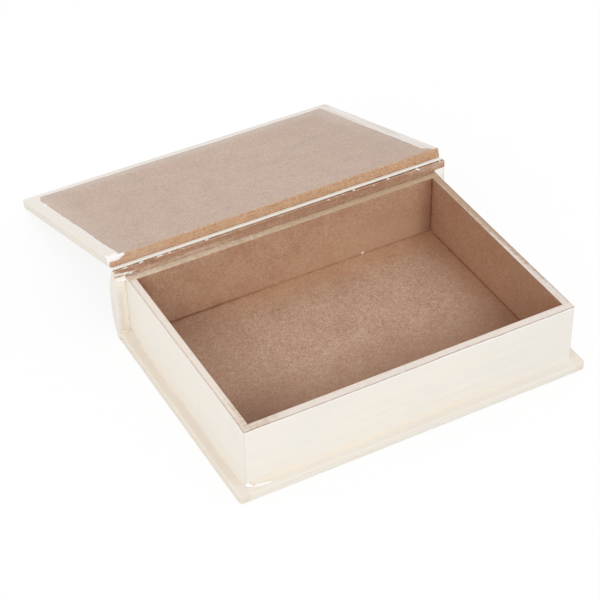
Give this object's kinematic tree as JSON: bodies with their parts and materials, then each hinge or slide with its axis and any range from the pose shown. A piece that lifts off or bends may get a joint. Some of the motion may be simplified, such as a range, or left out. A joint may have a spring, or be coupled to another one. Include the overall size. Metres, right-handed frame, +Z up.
{
  "type": "book-shaped storage box",
  "caption": "Book-shaped box of painted board, with an open tray on its bottom cover, a rounded spine and a cover-board lid on a cloth hinge.",
  "frame": {"origin": "on the bottom cover's underside, below the middle of the tray", "axes": "+X along the spine towards the tail wall, +Y from the fore edge to the spine, +Z up from the table"},
  "size_m": [0.271, 0.3747, 0.0682],
  "materials": {
    "painted_board": "brushed matt cream paint on MDF, bare inside",
    "bare_board": "bare brown MDF",
    "painted_cloth": "cloth tape under brushed matt cream paint"
  },
  "bodies": {
    "box": {"bottom_cover": "painted_board", "fore_edge_wall": "painted_board", "back_wall": "bare_board", "head_wall": "painted_board", "tail_wall": "painted_board", "spine": "painted_board", "hinge_tape_spine": "painted_cloth"},
    "lid": {"lid_board": "painted_board", "hinge_tape_lid": "painted_cloth"}
  },
  "joints": [
    {"name": "lid_hinge", "type": "hinge", "parent": "box", "child": "lid", "pos_m": [0, 0.09346, 0.06275], "axis": [1, 0, 0], "range_deg": [0, 199.37]}
  ]
}
